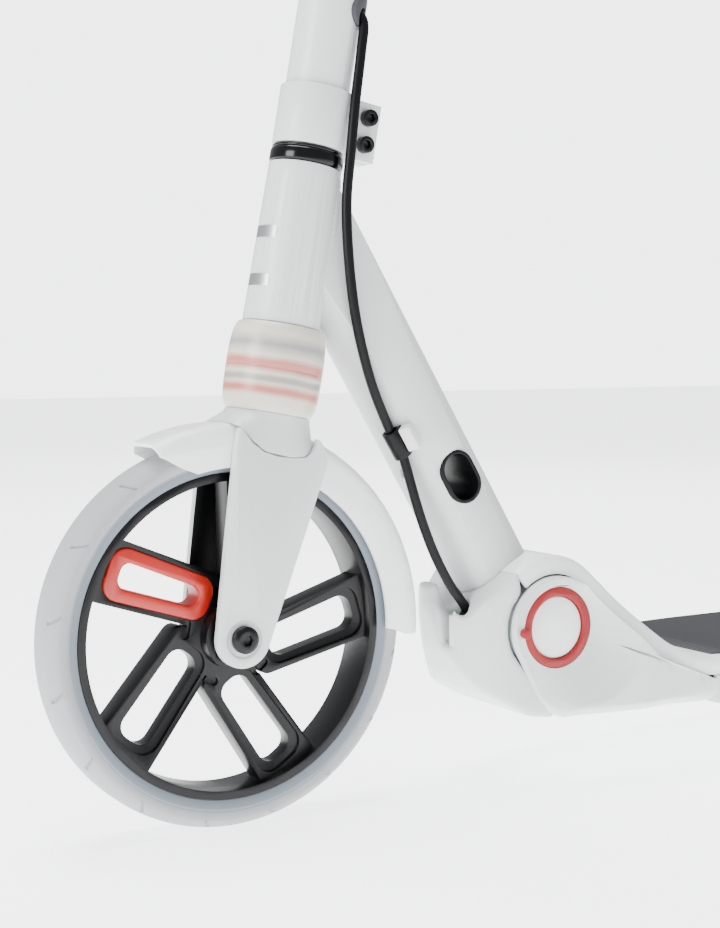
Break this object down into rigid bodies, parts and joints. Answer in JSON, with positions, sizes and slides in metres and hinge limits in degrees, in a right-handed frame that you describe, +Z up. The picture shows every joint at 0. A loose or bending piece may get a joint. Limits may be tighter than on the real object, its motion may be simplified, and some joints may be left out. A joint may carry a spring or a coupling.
{
  "type": "electric kick scooter",
  "caption": "White folding electric kick scooter with a hub-motor rear wheel, rubber boot over the fork, grey tyres, an orange wheel insert and a coral ring at the fold button.",
  "frame": {"origin": "on the ground under the middle of the scooter, halfway between the front of the front tyre and the back of the rear tyre", "axes": "X forward, Y to the rider's left, Z up"},
  "size_m": [1, 0.44, 0.9782],
  "materials": {
    "white_paint": "satin, faintly cool white paint",
    "white_trim": "bright white, soft gloss",
    "grip_rubber": "matte charcoal",
    "bare_metal": "satin",
    "steel": "satin",
    "coral_paint": "satin coral red",
    "black_plastic": "matte black",
    "black_gloss": "glossy black",
    "black_metal": "satin black",
    "pale_tyre": "matte pale grey, cooler on the sidewall",
    "orange_insert": "soft gloss orange-red",
    "milky_rubber": "translucent milky rubber",
    "red_rubber": "satin red",
    "off_white_plastic": "satin off-white",
    "battery_film": "blue film"
  },
  "bodies": {
    "deck": {"deck_shell": "white_paint", "trim_band": "white_trim", "grip_mat": "grip_rubber", "deck_plate": "bare_metal", "battery_pack": "battery_film", "controller_box": "bare_metal", "hinge_pin": "steel", "lock_rings": "coral_paint", "hinge_cap": "white_trim", "charge_port": "black_plastic", "rear_fork": "black_metal", "motor_axle": "steel", "guard_pin": "steel", "kickstand_pin": "steel"},
    "fold_button": {"fold_button": "white_trim"},
    "front_frame": {"main_frame": "white_paint", "lock_hole_liner": "black_plastic", "nose_shell": "white_paint", "nose_insert": "off_white_plastic", "drum_cover": "white_trim", "cable_clip": "black_plastic", "clip_tie": "off_white_plastic", "clip_stud": "steel", "headset_bearings": "steel", "cable": "black_gloss"},
    "steering": {"steerer": "steel", "headset_ring": "black_gloss", "clamp_collar": "white_paint", "collar_screws": "black_metal", "column_tube": "white_paint", "cable_grommet": "grip_rubber", "column_clamp": "black_metal", "height_bush": "black_plastic", "clamp_bolt": "steel", "boot": "milky_rubber", "elastomers": "red_rubber", "elastomer_washer": "steel"},
    "clamp_lever": {"clamp_lever": "black_metal"},
    "fork": {"fork_crown": "white_paint", "fork_blades": "white_paint", "front_mudguard": "white_trim", "front_axle": "black_metal"},
    "front_wheel": {"front_tyre": "pale_tyre", "front_core": "black_metal", "spoke_insert": "orange_insert", "front_bearings": "steel"},
    "bar": {"inner_tube": "bare_metal", "handlebar": "black_metal", "grips": "grip_rubber", "display_housing": "black_plastic", "display_lens": "black_gloss", "brake_clamp": "black_plastic"},
    "power_button": {"power_button": "red_rubber"},
    "throttle": {"throttle_lever": "black_plastic"},
    "brake_lever": {"brake_lever": "black_metal"},
    "rear_wheel": {"rear_tyre": "pale_tyre", "motor_shell": "black_metal"},
    "rear_guard": {"rear_guard": "black_plastic"},
    "kickstand": {"kickstand_leg": "black_metal", "kickstand_foot": "grip_rubber"}
  },
  "joints": [
    {"name": "fold", "type": "hinge", "parent": "deck", "child": "front_frame", "pos_m": [0.2167, 0, 0.0922], "axis": [0, -1, 0], "range_deg": [0, 64]},
    {"name": "fold_button_press", "type": "slide", "parent": "deck", "child": "fold_button", "axis": [0, -1, 0], "range_m": [0, 0.004], "stiffness_N_per_m": 800, "springref_m": -0.003},
    {"name": "steer", "type": "hinge", "parent": "front_frame", "child": "steering", "pos_m": [0.35868, 0, 0.29576], "axis": [-0.1805, 0, 0.9836], "range_deg": [-60, 60], "deforming": ["cable"]},
    {"name": "fork_travel", "type": "slide", "parent": "steering", "child": "fork", "axis": [-0.1805, 0, 0.9836], "range_m": [0, 0.008], "stiffness_N_per_m": 20000, "springref_m": -0.004, "deforming": ["boot", "elastomers", "elastomer_washer"]},
    {"name": "front_wheel_spin", "type": "hinge", "parent": "fork", "child": "front_wheel", "pos_m": [0.4, 0, 0.1], "axis": [0, 1, 0], "continuous": true},
    {"name": "clamp_lever_turn", "type": "hinge", "parent": "steering", "child": "clamp_lever", "pos_m": [0.26868, 0, 0.63102], "axis": [0, 1, 0], "range_deg": [0, 150]},
    {"name": "bar_height", "type": "slide", "parent": "steering", "child": "bar", "axis": [-0.1805, 0, 0.9836], "range_m": [-0.1, 0]},
    {"name": "power_button_press", "type": "slide", "parent": "bar", "child": "power_button", "axis": [0.712, 0, -0.7022], "range_m": [0, 0.0015], "stiffness_N_per_m": 500, "springref_m": -0.002},
    {"name": "throttle_turn", "type": "hinge", "parent": "bar", "child": "throttle", "pos_m": [0.23952, 0, 0.945], "axis": [0, -1, 0], "range_deg": [0, 35], "stiffness_Nm_per_rad": 0.05, "springref_deg": -17.19},
    {"name": "brake_lever_turn", "type": "hinge", "parent": "bar", "child": "brake_lever", "pos_m": [0.26569, 0.095, 0.9498], "axis": [-0.1805, 0, 0.9836], "range_deg": [0, 12], "stiffness_Nm_per_rad": 0.5, "springref_deg": -11.46},
    {"name": "rear_wheel_spin", "type": "hinge", "parent": "deck", "child": "rear_wheel", "pos_m": [-0.4, 0, 0.1], "axis": [0, 1, 0], "continuous": true},
    {"name": "rear_guard_press", "type": "hinge", "parent": "deck", "child": "rear_guard", "pos_m": [-0.287, 0, 0.077], "axis": [0, -1, 0], "range_deg": [0, 2.2], "stiffness_Nm_per_rad": 20, "springref_deg": -1.15},
    {"name": "kickstand_turn", "type": "hinge", "parent": "deck", "child": "kickstand", "pos_m": [-0.12, 0.065, 0.047], "axis": [0, 0.8192, 0.5736], "range_deg": [0, 85]}
  ]
}
